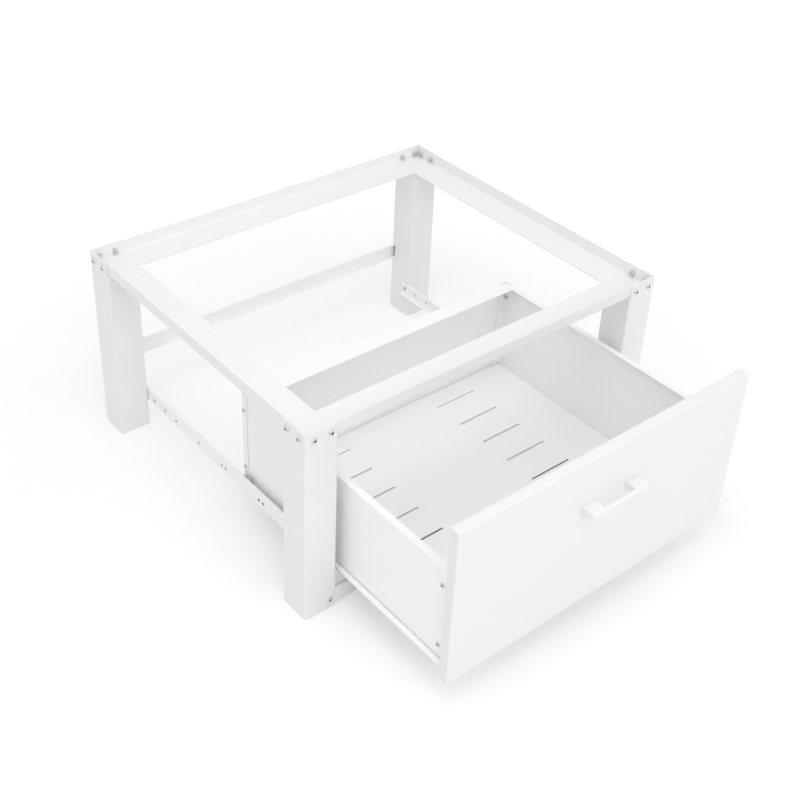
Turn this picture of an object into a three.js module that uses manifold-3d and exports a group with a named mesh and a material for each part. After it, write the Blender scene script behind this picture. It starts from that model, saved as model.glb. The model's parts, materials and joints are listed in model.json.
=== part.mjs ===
// A washer pedestal: an open steel stand on four box legs, with a washer's seat inside a
// raised rim on top and a drawer on roller runners below. The drawer stands pulled out.
// Millimetres, +Z up. The front faces -Y, and the origin is on the floor under the middle.

import * as THREE from 'three';
import { mergeVertices } from 'three/addons/utils/BufferGeometryUtils.js';
import Module from 'manifold-3d';

const wasm = await Module();
wasm.setup();

// Stand
const width = 630;
const depth = 540;
const height = 310;

// Sheets, folds and clearances
const frameSheet = 1.5;
const drawerSheet = 1;
const runnerSheet = 1.2;
const panelSheet = 1.2;
const foldRadius = 1.2; // inside radius of a fold
const foldSteps = 3; // flat strips around a quarter turn
const seat = 0.3; // between pieces that are set against each other
const holeGap = 0.3; // around a bolt or screw in its hole
const headGap = 0.1; // under a bolt's head and its nut
const headCrown = 0.8; // share of a head's radius and height where its rounding breaks
const through = 5; // how far a cutting shape runs past what it cuts

// Legs
const legSize = 50;
const legEdgeRadius = 3;
const legBaseHoleRadius = 7;

// Top rails: an upright rim with a ledge folded inwards at its foot
const rimHeight = 18;
const ledgeWidth = 52.5;

// Crossbars: a shallow channel with its ends inside the legs
const crossbarHeight = 26;
const crossbarFlange = 6;
const crossbarTuck = 24; // how far an end reaches into a leg
const crossbarBoltInset = 10.5; // from the leg's inner face to the bolt
const frontCrossbarFoot = 2; // height of the front crossbar's lower edge
const rearCrossbarFoot = 103;

// Bolts with their nuts
const boltRadius = 2.5;
const boltHeadRadius = 4.6;
const boltHeadHeight = 2.4;
const nutAcross = 8;
const nutHeight = 4;
const boltInset = 13; // from the leg's outer edge to the first bolt
const boltSpacing = 26;
const boltDrop = 12; // from the top edge down to the bolts

// Small screws of the drawer box, the runners and the handle
const screwRadius = 2;
const screwHeadRadius = 3.8;
const screwHeadHeight = 1.8;
const screwNutAcross = 5.5;
const screwNutHeight = 2.4;

// Fixed runners: channels on the legs' inner faces
const channelFoot = 43.5;
const channelHeight = 23;
const channelFlange = 8.5;
const channelFront = 17.5; // behind the stand's front face
const channelRearInset = 35; // from the stand's rear face
const channelScrewInset = 7.5; // from the rear end
const frontChannelScrewInset = 21;
const systemPitch = 32; // spacing that the holes of such runners keep
const firstHoleInset = 35; // from the rear end
const holeSteps = [0, 1, 2, 4, 6, 9]; // which places of that spacing have a hole
const twinHoleSteps = [6, 9]; // and which have a second one beside it
const twinHoleSpacing = 10.5;
const channelHoleRadius = 2.3;

// Rollers
const frontRollerInset = 10; // from the channel's front end to the roller's pin
const rollerWidth = 5.8;
const rollerPinRadius = 2.5;
const rollerBoreRadius = 2.7;
const rollerFace = 1.5; // height of the rounding at a roller's edges
const pinHeadRadius = 4;
const pinHeadThickness = 0.7;

// Moving runners, under the drawer's lower edges
const runnerFlangeUnder = 58.3; // height of the flange that the front roller carries
const runnerFlangeReach = 7;
const runnerUnderFlange = 12;
const rearRollerInset = 13; // from the drawer's rear end to the roller's pin
const rearRollerRoom = 26; // length of flange left away beside the roller

// Drawer
const opening = 218.6; // how far the drawer is pulled out here
const runnerRoom = 13.5; // from a leg's inner face to the box
const boxRearInset = 83; // from the stand's rear face when the drawer is shut
const boxFoot = 44.8;
const boxTop = 205;
const topFlange = 10;
const endTopFlange = 25;
const bottomFlange = 12;
const sideReturn = 15.5; // flange of a side across the drawer's rear corner
const backWrap = 12; // flange of the back around the outside of a side
const backWrapFoot = 73;
const frontTuck = 25; // flange of the inner front along the inside of a side
const frontScrewInset = 14;
const upperScrewHeight = 178.3;
const lowerScrewHeight = 78.7;

// Slots and corner notches of the drawer's floor
const slotLength = 76;
const slotWidth = 3;
const slotPitch = 53.3;
const slotRearInset = 34; // from the rearmost slot to the floor's rear edge
const slotFrontInset = 25; // the least from the foremost slot to the front edge
const slotColumn = 125; // from the middle to a column's middle
const floorNotchWidth = 4;
const floorNotchLength = 30;

// Drawer front
const panelGap = 3.5; // to the legs and to the front top rail
const panelFoot = 37.5;
const panelDepth = 15.5;
const panelLip = 14;
const panelEdge = 2.4; // rounding of the front edges

// Handle: two feet with a slimmer bar across their outer ends
const handleLength = 103;
const handleReach = 22;
const handleMiddle = 210; // height above the floor
const handleFootWidth = 22.5;
const handleFootHeight = 10.5;
const handleBarDepth = 7;
const handleBarHeight = 8;
const handleBarInset = 0.8; // from the feet's outer faces to the bar's
const handleEdge = 1.2;
const handleScrewDepth = 10;

// Places worked out from the sizes above
const halfBay = width / 2 - legSize;
const ledgeTop = height - rimHeight;
const ledgeUnder = ledgeTop - frameSheet;
const rimInset = frameSheet + seat;
const rimInner = rimInset + frameSheet;
const boltHeight = height - boltDrop;
const halfBox = halfBay - runnerRoom;
const boxFront = panelDepth + seat; // behind the drawer front's face
const boxRear = depth - boxRearInset;
const floorUnder = boxFoot + drawerSheet + seat;
const floorTop = floorUnder + drawerSheet;
const wallTop = boxTop - drawerSheet - foldRadius; // where the folds of the top flanges begin
const channelFace = halfBay - seat; // outer face of a fixed runner's web
const channelInner = channelFace - runnerSheet;
const channelRear = depth - channelRearInset;
const channelMiddle = channelFoot + channelHeight / 2;
const rearRollerRadius = channelHeight / 2 - runnerSheet - seat;
const runnerFace = halfBox + seat + runnerSheet; // outer face of a moving runner's web
const rollerOuter = channelInner - seat;
const rollerInner = rollerOuter - rollerWidth;
const frontRollerTop = runnerFlangeUnder - seat;
const frontRollerFoot = channelFoot + runnerSheet + seat;
const frontRollerRadius = (frontRollerTop - frontRollerFoot) / 2;
const frontRollerHeight = (frontRollerTop + frontRollerFoot) / 2;
const frontRollerPlace = channelFront + frontRollerInset;
const rearRollerPlace = boxRear - rearRollerInset;
const boltProud = boltHeadHeight + headGap;
const handleScrewSpan = (handleLength - handleFootWidth) / 2; // from the middle to a foot's screw

// Finishes
const whitePaint = new THREE.MeshStandardMaterial({ color: 0xf2f2f0, roughness: 0.45, metalness: 0 });
const whitePlastic = new THREE.MeshStandardMaterial({ color: 0xf7f7f5, roughness: 0.35, metalness: 0 });
const greyPlastic = new THREE.MeshStandardMaterial({ color: 0xd9d9d6, roughness: 0.5, metalness: 0 });
const zinc = new THREE.MeshStandardMaterial({ color: 0xb9bcbe, roughness: 0.35, metalness: 0.9 });

// Outlines

function outlineFrom(points) {
  return new THREE.Shape(points.map(([u, v]) => new THREE.Vector2(u, v)));
}

// A closed outline with every corner rounded.
function rounded(points, radius) {
  const corners = points.map(([u, v]) => new THREE.Vector2(u, v));
  const rounds = [];
  corners.forEach((corner, i) => {
    const before = corners[(i + corners.length - 1) % corners.length];
    const after = corners[(i + 1) % corners.length];
    rounds.push(...bend(before, corner, after, radius).near);
  });
  return new THREE.Shape(rounds);
}

// The two sides of a folded strip at one fold: its own line and the line one sheet to the left.
function bend(before, corner, after, insideRadius, sheet = 0) {
  const into = corner.clone().sub(before).normalize();
  const out = after.clone().sub(corner).normalize();
  const turn = Math.atan2(into.cross(out), into.dot(out));
  const side = Math.sign(turn);
  const radius = side > 0 ? insideRadius + sheet : insideRadius;
  const reach = radius * Math.tan(Math.abs(turn) / 2);
  const start = corner.clone().addScaledVector(into, -reach);
  const centre = start.clone().add(new THREE.Vector2(-into.y, into.x).multiplyScalar(side * radius));
  const near = [];
  const far = [];
  for (let step = 0; step <= foldSteps; step += 1) {
    const onLine = start.clone().rotateAround(centre, (turn * step) / foldSteps);
    near.push(onLine);
    far.push(onLine.clone().sub(centre).multiplyScalar(1 - (side * sheet) / radius).add(centre));
  }
  return { near, far };
}

// A folded sheet seen from its end. The sheet lies to the left of the line through the points.
function folded(points, sheet) {
  const line = points.map(([u, v]) => new THREE.Vector2(u, v));
  const near = [];
  const far = [];
  line.forEach((point, i) => {
    if (i > 0 && i < line.length - 1) {
      const fold = bend(line[i - 1], point, line[i + 1], foldRadius, sheet);
      near.push(...fold.near);
      far.push(...fold.far);
      return;
    }
    const from = line[Math.max(i - 1, 0)];
    const to = line[Math.min(i + 1, line.length - 1)];
    const along = to.clone().sub(from).normalize();
    near.push(point);
    far.push(point.clone().add(new THREE.Vector2(-along.y, along.x).multiplyScalar(sheet)));
  });
  return new THREE.Shape([...near, ...far.reverse()]);
}

// A line for the right-hand side, or its mirror image for the left.
function handed(side, points) {
  return side > 0 ? points : points.map(([u, v]) => [-u, v]).reverse();
}

function rectangle(u0, u1, v0, v1) {
  const [left, right] = [Math.min(u0, u1), Math.max(u0, u1)];
  const [low, high] = [Math.min(v0, v1), Math.max(v0, v1)];
  return [[left, low], [right, low], [right, high], [left, high]];
}

function disc(radius, u, v, sides = 12) {
  const points = [];
  for (let i = 0; i < sides; i += 1) {
    const angle = (2 * Math.PI * (i + 0.5)) / sides;
    points.push([u + radius * Math.cos(angle), v + radius * Math.sin(angle)]);
  }
  return outlineFrom(points);
}

// Solids

function solid(geometry) {
  const bare = geometry.clone();
  bare.deleteAttribute('normal');
  bare.deleteAttribute('uv');
  const merged = mergeVertices(bare, 1e-4);
  return new wasm.Manifold(new wasm.Mesh({
    numProp: 3,
    vertProperties: new Float32Array(merged.attributes.position.array),
    triVerts: new Uint32Array(merged.index.array),
  }));
}

function geometryOf(body) {
  const { vertProperties, triVerts } = body.getMesh();
  const geometry = new THREE.BufferGeometry();
  geometry.setAttribute('position', new THREE.BufferAttribute(vertProperties, 3));
  geometry.setIndex(new THREE.BufferAttribute(triVerts, 1));
  geometry.computeVertexNormals();
  return geometry;
}

const axisX = new THREE.Vector3(1, 0, 0);
const axisY = new THREE.Vector3(0, 1, 0);
const axisZ = new THREE.Vector3(0, 0, 1);

function extruded(shape, from, to) {
  return new THREE.ExtrudeGeometry(shape, { depth: Math.abs(to - from), bevelEnabled: false });
}

// An outline in y and z, drawn out along x.
function alongX(shape, from, to) {
  const turned = new THREE.Matrix4().makeBasis(axisY, axisZ, axisX);
  return solid(extruded(shape, from, to).applyMatrix4(turned).translate(Math.min(from, to), 0, 0));
}

// An outline in x and z, drawn out along y.
function alongY(shape, from, to) {
  const turned = new THREE.Matrix4().makeBasis(axisX, axisZ, axisY.clone().negate());
  return solid(extruded(shape, from, to).applyMatrix4(turned).translate(0, Math.max(from, to), 0));
}

// An outline in x and y, drawn out along z.
function alongZ(shape, from, to) {
  return solid(extruded(shape, from, to).translate(0, 0, Math.min(from, to)));
}

function block(x0, x1, y0, y1, z0, z1) {
  return alongZ(outlineFrom(rectangle(x0, x1, y0, y1)), z0, z1);
}

function part(name, body, material) {
  const mesh = new THREE.Mesh(body.isBufferGeometry ? body : geometryOf(body), material);
  mesh.name = name;
  return mesh;
}

// A fastener that stands on y = 0 with its head up +y: a domed head, a shank, and a nut where it has one.
function fastener({ headRadius, headHeight, radius, length, nut }) {
  const profile = [
    new THREE.Vector2(0, -length),
    new THREE.Vector2(radius, -length),
    new THREE.Vector2(radius, headGap),
    new THREE.Vector2(headRadius, headGap),
    new THREE.Vector2(headRadius * headCrown, headGap + headHeight * headCrown),
    new THREE.Vector2(0, headGap + headHeight),
  ];
  let body = solid(new THREE.LatheGeometry(profile, 12));
  if (nut) {
    const cornerRadius = nut.across / 2 / Math.cos(Math.PI / 6);
    const hexagon = new THREE.CylinderGeometry(cornerRadius, cornerRadius, nut.height, 6);
    body = body.add(solid(hexagon.translate(0, -nut.depth - nut.height / 2, 0)));
  }
  return geometryOf(body);
}

function placed(mesh, outward, x, y, z) {
  mesh.quaternion.setFromUnitVectors(axisY, outward);
  mesh.position.set(x, y, z);
  return mesh;
}

// The stand's frame

const cornerSigns = [
  { name: 'front_left', side: -1, end: -1 },
  { name: 'front_right', side: 1, end: -1 },
  { name: 'rear_left', side: -1, end: 1 },
  { name: 'rear_right', side: 1, end: 1 },
];

// Distance from the front face of a point that lies some way in from the front or the rear face.
function inFrom(end, inset) {
  return end < 0 ? inset : depth - inset;
}

function crossbarFootAt(end) {
  return end < 0 ? frontCrossbarFoot : rearCrossbarFoot;
}

function channelScrewPlace(end) {
  return end < 0 ? channelFront + frontChannelScrewInset : channelRear - channelScrewInset;
}

function leg({ side, end }) {
  const x0 = side * (width / 2);
  const x1 = side * halfBay;
  const y0 = inFrom(end, 0);
  const y1 = inFrom(end, legSize);
  const lidTop = ledgeUnder - seat;
  const wallX = side * frameSheet;
  const wallY = end * frameSheet;
  const hollow = rounded(rectangle(x0 - wallX, x1 + wallX, y0 - wallY, y1 + wallY), legEdgeRadius - frameSheet);
  const pocket = rounded(
    rectangle(x0 - wallX, x1 - side * through, y0 - wallY, y1 - end * through),
    legEdgeRadius - frameSheet,
  );
  const footAtBar = crossbarFootAt(end);
  const barMiddle = footAtBar + crossbarHeight / 2;
  const slotInner = inFrom(end, rimInset + crossbarFlange + seat);
  const middleX = (x0 + x1) / 2;
  const middleY = (y0 + y1) / 2;
  let body = alongZ(rounded(rectangle(x0, x1, y0, y1), legEdgeRadius), 0, height)
    .subtract(alongZ(hollow, frameSheet, lidTop - frameSheet))
    .subtract(alongZ(pocket, lidTop, height + through))
    .subtract(alongZ(disc(legBaseHoleRadius, middleX, middleY), -through, frameSheet + through / 2))
    .subtract(block(x1 + side * through / 2, x1 - side * through, y0 - wallY, slotInner,
      footAtBar - seat, footAtBar + crossbarHeight + seat))
    .subtract(alongY(disc(boltRadius + holeGap, x1 + side * crossbarBoltInset, barMiddle),
      y0 + end * through, y0 - end * through))
    .subtract(alongX(disc(screwRadius + holeGap, channelScrewPlace(end), channelMiddle),
      x1 + side * through, x1 - side * through));
  for (const inset of [boltInset, boltInset + boltSpacing]) {
    body = body
      .subtract(alongY(disc(boltRadius + holeGap, side * (width / 2 - inset), boltHeight),
        y0 + end * through, y0 - end * through))
      .subtract(alongX(disc(boltRadius + holeGap, inFrom(end, inset), boltHeight),
        x0 + side * through, x0 - side * through));
  }
  return body;
}

// A top rail along x with its outer face towards -y, for a side of the stand of the given length.
function topRail(length, rimEnd) {
  const half = length / 2;
  const profile = folded([[rimInset, height], [rimInset, ledgeUnder], [ledgeWidth, ledgeUnder]], frameSheet);
  const ledgeEnd = half - legSize - seat;
  const overhang = ledgeWidth - legSize;
  let body = alongX(profile, -half + rimEnd, half - rimEnd);
  for (const side of [-1, 1]) {
    const mitre = handed(side, [
      [ledgeEnd, rimInner],
      [half + through, rimInner],
      [half + through, ledgeWidth + through],
      [ledgeEnd - overhang - through, ledgeWidth + through],
      [ledgeEnd, legSize],
    ]);
    body = body.subtract(alongZ(outlineFrom(mitre), ledgeUnder - through, height + through));
    for (const inset of [boltInset, boltInset + boltSpacing]) {
      body = body.subtract(alongY(disc(boltRadius + holeGap, side * (half - inset), boltHeight),
        rimInset - through, rimInner + through));
    }
  }
  return geometryOf(body);
}

function addTopRails(stand) {
  const sideRimEnd = legEdgeRadius; // clear of the rounding inside the legs
  const crossRimEnd = rimInner + seat; // the rims of the front and rear rails stop at the side rails
  const rails = [
    { name: 'front', length: width, rimEnd: crossRimEnd, turn: 0, x: 0, y: 0 },
    { name: 'rear', length: width, rimEnd: crossRimEnd, turn: Math.PI, x: 0, y: depth },
    { name: 'right', length: depth, rimEnd: sideRimEnd, turn: Math.PI / 2, x: width / 2, y: depth / 2 },
    { name: 'left', length: depth, rimEnd: sideRimEnd, turn: -Math.PI / 2, x: -width / 2, y: depth / 2 },
  ];
  for (const rail of rails) {
    const mesh = part(`top_rail_${rail.name}`, topRail(rail.length, rail.rimEnd), whitePaint);
    mesh.rotation.z = rail.turn;
    mesh.position.set(rail.x, rail.y, 0);
    stand.add(mesh);
  }
}

// A channel between two legs, with its back against the front or rear walls of the legs.
function crossbar(end) {
  const foot = crossbarFootAt(end);
  const top = foot + crossbarHeight;
  const back = inFrom(end, rimInset);
  const lips = inFrom(end, rimInset + crossbarFlange);
  const path = end < 0
    ? [[lips, top], [back, top], [back, foot], [lips, foot]]
    : [[lips, foot], [back, foot], [back, top], [lips, top]];
  const reach = halfBay + crossbarTuck;
  const middle = foot + crossbarHeight / 2;
  let body = alongX(folded(path, frameSheet), -reach, reach);
  for (const side of [-1, 1]) {
    body = body.subtract(alongY(disc(boltRadius + holeGap, side * (halfBay + crossbarBoltInset), middle),
      back - through, back + through));
  }
  return body;
}

// Bolts through a leg's outer wall and the rail or crossbar behind it.
function addFrameBolts(stand) {
  const nutDepth = rimInner + headGap;
  const shape = fastener({
    headRadius: boltHeadRadius,
    headHeight: boltHeadHeight,
    radius: boltRadius,
    length: nutDepth + nutHeight + 1,
    nut: { across: nutAcross, height: nutHeight, depth: nutDepth },
  });
  for (const { name, side, end } of cornerSigns) {
    const outX = new THREE.Vector3(side, 0, 0);
    const outY = new THREE.Vector3(0, end, 0);
    [boltInset, boltInset + boltSpacing].forEach((inset, i) => {
      stand.add(placed(part(`rail_bolt_${name}_end_${i + 1}`, shape, zinc), outY,
        side * (width / 2 - inset), inFrom(end, 0), boltHeight));
      stand.add(placed(part(`rail_bolt_${name}_side_${i + 1}`, shape, zinc), outX,
        side * (width / 2), inFrom(end, inset), boltHeight));
    });
    stand.add(placed(part(`crossbar_bolt_${name}`, shape, zinc), outY,
      side * (halfBay + crossbarBoltInset), inFrom(end, 0), crossbarFootAt(end) + crossbarHeight / 2));
  }
}

// Runners and rollers

const sides = [{ name: 'left', side: -1 }, { name: 'right', side: 1 }];

// A channel that opens towards the drawer, with the front roller's pin riveted into its web.
function fixedRunner(side) {
  const top = channelFoot + channelHeight;
  const inner = channelFace - channelFlange;
  const path = [[inner, channelFoot], [channelFace, channelFoot], [channelFace, top], [inner, top]];
  const holes = holeSteps.map((step) => channelRear - firstHoleInset - step * systemPitch);
  holes.push(...twinHoleSteps.map((step) => channelRear - firstHoleInset - step * systemPitch - twinHoleSpacing));
  let body = alongY(folded(handed(side, path), runnerSheet), channelFront, channelRear);
  for (const place of holes) {
    body = body.subtract(alongX(disc(channelHoleRadius, place, channelMiddle),
      side * (channelInner - through), side * (channelFace + through)));
  }
  for (const end of [-1, 1]) {
    body = body.subtract(alongX(disc(screwRadius + holeGap, channelScrewPlace(end), channelMiddle),
      side * (channelInner - through), side * (channelFace + through)));
  }
  const pinTip = rollerInner - headGap - pinHeadThickness;
  const pin = alongX(disc(rollerPinRadius, frontRollerPlace, frontRollerHeight),
    side * pinTip, side * (channelFace - runnerSheet / 2));
  const head = alongX(disc(pinHeadRadius, frontRollerPlace, frontRollerHeight),
    side * pinTip, side * (pinTip + pinHeadThickness));
  return body.add(pin).add(head);
}

// An angle under the drawer's lower edge with a flange standing out, and the rear roller's pin.
function movingRunner(side) {
  const foot = boxFoot - seat - runnerSheet;
  const path = [
    [halfBox - runnerUnderFlange, foot],
    [runnerFace, foot],
    [runnerFace, runnerFlangeUnder],
    [runnerFace + runnerFlangeReach, runnerFlangeUnder],
  ];
  const pinTip = channelInner - seat;
  const room = boxRear - rearRollerRoom;
  const pin = alongX(disc(rollerPinRadius, rearRollerPlace, channelMiddle),
    side * (runnerFace - runnerSheet / 2), side * pinTip);
  const collar = alongX(disc(pinHeadRadius, rearRollerPlace, channelMiddle),
    side * (runnerFace - runnerSheet / 2), side * (rollerInner - headGap));
  const head = alongX(disc(pinHeadRadius, rearRollerPlace, channelMiddle),
    side * (pinTip - pinHeadThickness), side * pinTip);
  return alongY(folded(handed(side, path), runnerSheet), boxFront, boxRear)
    .subtract(block(side * runnerFace, side * (runnerFace + runnerFlangeReach + through), room, boxRear + through,
      runnerFlangeUnder - foldRadius - runnerSheet, runnerFlangeUnder + through))
    .add(pin)
    .add(collar)
    .add(head);
}

// A plastic wheel along x with rounded edges, around its own middle.
function roller(radius, rollWidth) {
  const half = rollWidth / 2;
  const profile = [
    [rollerBoreRadius, -half],
    [radius - rollerFace, -half],
    [radius, -half + rollerFace],
    [radius, half - rollerFace],
    [radius - rollerFace, half],
    [rollerBoreRadius, half],
    [rollerBoreRadius, -half],
  ];
  const wheel = new THREE.LatheGeometry(profile.map(([r, h]) => new THREE.Vector2(r, h)), 24);
  return geometryOf(solid(wheel.rotateZ(-Math.PI / 2)));
}

function addFixedRunners(stand) {
  const screw = fastener({
    headRadius: screwHeadRadius,
    headHeight: screwHeadHeight,
    radius: screwRadius,
    length: runnerSheet + seat + frameSheet + through,
  });
  const wheel = roller(frontRollerRadius, rollerWidth);
  for (const { name, side } of sides) {
    stand.add(part(`fixed_runner_${name}`, fixedRunner(side), whitePaint));
    const front = part(`front_roller_${name}`, wheel, greyPlastic);
    front.position.set(side * (rollerInner + rollerWidth / 2), frontRollerPlace, frontRollerHeight);
    stand.add(front);
    const inward = new THREE.Vector3(-side, 0, 0);
    stand.add(placed(part(`runner_screw_front_${name}`, screw, zinc), inward,
      side * channelInner, channelScrewPlace(-1), channelMiddle));
    stand.add(placed(part(`runner_screw_rear_${name}`, screw, zinc), inward,
      side * channelInner, channelScrewPlace(1), channelMiddle));
  }
}

function addMovingRunners(drawer) {
  const rearWidth = rollerWidth - headGap - pinHeadThickness;
  const wheel = roller(rearRollerRadius, rearWidth);
  for (const { name, side } of sides) {
    drawer.add(part(`moving_runner_${name}`, movingRunner(side), whitePaint));
    const rear = part(`rear_roller_${name}`, wheel, greyPlastic);
    rear.position.set(side * (rollerInner + rearWidth / 2), rearRollerPlace, channelMiddle);
    drawer.add(rear);
  }
}

// The drawer's box. Its places count from the face of the drawer front.

const rearScrewPlace = boxRear - 2 * (drawerSheet + seat) - foldRadius - screwNutAcross / 2;
const frontScrewPlace = panelDepth + frontScrewInset;
const screwHeights = [upperScrewHeight, lowerScrewHeight];

function screwHoles(side, place) {
  const holes = screwHeights.map((z) => alongX(disc(screwRadius + holeGap, place, z),
    side * (halfBox - through), side * (halfBox + through)));
  return holes[0].add(holes[1]);
}

// A side with a flange along its top, one along its bottom and one across the rear corner.
function drawerSide(side) {
  const path = [
    [halfBox - bottomFlange, boxFoot],
    [halfBox, boxFoot],
    [halfBox, boxTop],
    [halfBox - topFlange, boxTop],
  ];
  const rearEnd = boxRear - drawerSheet - seat;
  const plan = [[halfBox, boxFront], [halfBox, rearEnd], [halfBox - sideReturn, rearEnd]];
  return alongY(folded(handed(side, path), drawerSheet), boxFront, rearEnd - foldRadius - drawerSheet)
    .add(alongZ(folded(handed(side, plan), drawerSheet), floorUnder, wallTop))
    .subtract(screwHoles(side, rearScrewPlace))
    .subtract(screwHoles(side, frontScrewPlace));
}

// Flanges along the top and bottom of an end wall, folded into the drawer from the wall's outer face.
function endFlanges(face, inward) {
  const topHalf = halfBox - topFlange - seat;
  const bottomHalf = halfBox - bottomFlange - seat;
  return block(-topHalf, topHalf, face, face + inward * endTopFlange, boxTop - drawerSheet, boxTop)
    .add(block(-bottomHalf, bottomHalf, face, face + inward * bottomFlange, boxFoot, boxFoot + drawerSheet));
}

// The back wraps around the outside of the sides, above the runners.
function drawerBack() {
  const outer = halfBox + seat + drawerSheet;
  const plan = [[outer, boxRear - backWrap], [outer, boxRear], [-outer, boxRear], [-outer, boxRear - backWrap]];
  let body = alongZ(folded(plan, drawerSheet), boxFoot, boxTop).add(endFlanges(boxRear, -1));
  for (const { side } of sides) {
    body = body
      .subtract(block(side * (halfBox - foldRadius), side * (outer + through),
        boxRear - backWrap - through, boxRear + through, boxFoot - through, backWrapFoot))
      .subtract(screwHoles(side, rearScrewPlace));
  }
  return body;
}

// The inner front closes the box behind the drawer front, with flanges inside the sides.
function drawerInnerFront() {
  const outer = halfBox - drawerSheet - seat;
  const rear = boxFront + frontTuck;
  const plan = [[-outer, rear], [-outer, boxFront], [outer, boxFront], [outer, rear]];
  const middle = (boxFoot + boxTop) / 2;
  const topHalf = halfBox - topFlange - seat;
  const bottomHalf = halfBox - bottomFlange - seat;
  let body = alongZ(folded(plan, drawerSheet), floorTop + seat, wallTop)
    .add(block(-topHalf, topHalf, boxFront, boxFront + drawerSheet, middle, boxTop))
    .add(block(-bottomHalf, bottomHalf, boxFront, boxFront + drawerSheet, boxFoot, middle))
    .add(endFlanges(boxFront, 1));
  for (const { side } of sides) {
    body = body.subtract(screwHoles(side, frontScrewPlace));
  }
  return body;
}

// The floor lies on the flanges. It has two columns of narrow slots and notched rear corners.
function drawerFloor() {
  const half = halfBox - drawerSheet - foldRadius;
  const front = boxFront + drawerSheet + seat;
  const rear = boxRear - 2 * (drawerSheet + seat);
  const plate = outlineFrom([
    [-half, front],
    [half, front],
    [half, rear - floorNotchLength],
    [half - floorNotchWidth, rear - floorNotchLength],
    [half - floorNotchWidth, rear],
    [floorNotchWidth - half, rear],
    [floorNotchWidth - half, rear - floorNotchLength],
    [-half, rear - floorNotchLength],
  ]);
  for (let y = rear - slotRearInset; y > front + slotFrontInset; y -= slotPitch) {
    for (const { side } of sides) {
      const x = side * slotColumn;
      const slot = rectangle(x - slotLength / 2, x + slotLength / 2, y - slotWidth / 2, y + slotWidth / 2);
      plate.holes.push(new THREE.Path(rounded(slot, slotWidth * 0.45).getPoints()));
    }
  }
  return alongZ(plate, floorUnder, floorTop);
}

// The drawer front is a shallow tray of folded sheet, open behind, with a lip around its rim.
function drawerFront() {
  const half = halfBay - panelGap;
  const top = ledgeUnder - panelGap;
  const outline = rounded(rectangle(-half + panelEdge, half - panelEdge, panelFoot + panelEdge, top - panelEdge), 1);
  const shell = new THREE.ExtrudeGeometry(outline, {
    depth: panelDepth - 2 * panelEdge,
    bevelThickness: panelEdge,
    bevelSize: panelEdge,
    bevelSegments: foldSteps,
  });
  const turned = new THREE.Matrix4().makeBasis(axisX, axisZ, axisY.clone().negate());
  let body = solid(shell.applyMatrix4(turned).translate(0, panelDepth - panelEdge, 0))
    .subtract(block(-half + panelSheet, half - panelSheet, panelSheet, panelDepth - panelSheet,
      panelFoot + panelSheet, top - panelSheet))
    .subtract(block(-half + panelLip, half - panelLip, panelDepth / 2, panelDepth + through,
      panelFoot + panelLip, top - panelLip));
  for (const { side } of sides) {
    body = body.subtract(alongY(disc(screwRadius + holeGap, side * handleScrewSpan, handleMiddle),
      -through, panelSheet + through));
  }
  return body;
}

// A block with rounded edges, laid out in x and y around the handle's own height.
function cushion(x0, x1, y0, y1, thickness) {
  const edge = handleEdge;
  const shape = rounded(rectangle(x0 + edge, x1 - edge, y0 + edge, y1 - edge), edge);
  const body = new THREE.ExtrudeGeometry(shape, {
    depth: thickness - 2 * edge,
    bevelThickness: edge,
    bevelSize: edge,
    bevelSegments: 2,
  });
  return solid(body.translate(0, 0, handleMiddle - thickness / 2 + edge));
}

function handle() {
  const half = handleLength / 2;
  const barFront = -handleReach + handleBarInset;
  let body = cushion(-handleScrewSpan, handleScrewSpan, barFront, barFront + handleBarDepth, handleBarHeight);
  for (const { side } of sides) {
    const foot = side * (half - handleFootWidth / 2) - handleFootWidth / 2;
    body = body
      .add(cushion(foot, foot + handleFootWidth, -handleReach, -seat, handleFootHeight))
      .subtract(alongY(disc(screwRadius + holeGap, side * handleScrewSpan, handleMiddle),
        -seat - handleScrewDepth, through));
  }
  return body;
}

function addHandle(drawer) {
  drawer.add(part('handle', handle(), whitePlastic));
  const screw = fastener({
    headRadius: screwHeadRadius,
    headHeight: screwHeadHeight,
    radius: screwRadius,
    length: panelSheet + seat + handleScrewDepth - holeGap,
  });
  for (const { name, side } of sides) {
    drawer.add(placed(part(`handle_screw_${name}`, screw, zinc), axisY,
      side * handleScrewSpan, panelSheet, handleMiddle));
  }
}

function addBoxScrews(drawer) {
  const rows = [
    { name: 'rear', place: rearScrewPlace, face: halfBox + seat + drawerSheet },
    { name: 'front', place: frontScrewPlace, face: halfBox },
  ];
  for (const { name: rowName, place, face } of rows) {
    const innerFace = rowName === 'rear' ? halfBox - drawerSheet : halfBox - 2 * drawerSheet - seat;
    const nutDepth = face - innerFace + headGap;
    const shape = fastener({
      headRadius: screwHeadRadius,
      headHeight: screwHeadHeight,
      radius: screwRadius,
      length: nutDepth + screwNutHeight + 1,
      nut: { across: screwNutAcross, height: screwNutHeight, depth: nutDepth },
    });
    for (const { name, side } of sides) {
      screwHeights.forEach((z, i) => {
        const level = i === 0 ? 'upper' : 'lower';
        drawer.add(placed(part(`box_screw_${rowName}_${name}_${level}`, shape, zinc),
          new THREE.Vector3(side, 0, 0), side * face, place, z));
      });
    }
  }
}

function makeStand() {
  const stand = new THREE.Group();
  for (const corner of cornerSigns) {
    stand.add(part(`leg_${corner.name}`, leg(corner), whitePaint));
  }
  addTopRails(stand);
  stand.add(part('crossbar_front', crossbar(-1), whitePaint));
  stand.add(part('crossbar_rear', crossbar(1), whitePaint));
  addFrameBolts(stand);
  addFixedRunners(stand);
  return stand;
}

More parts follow.
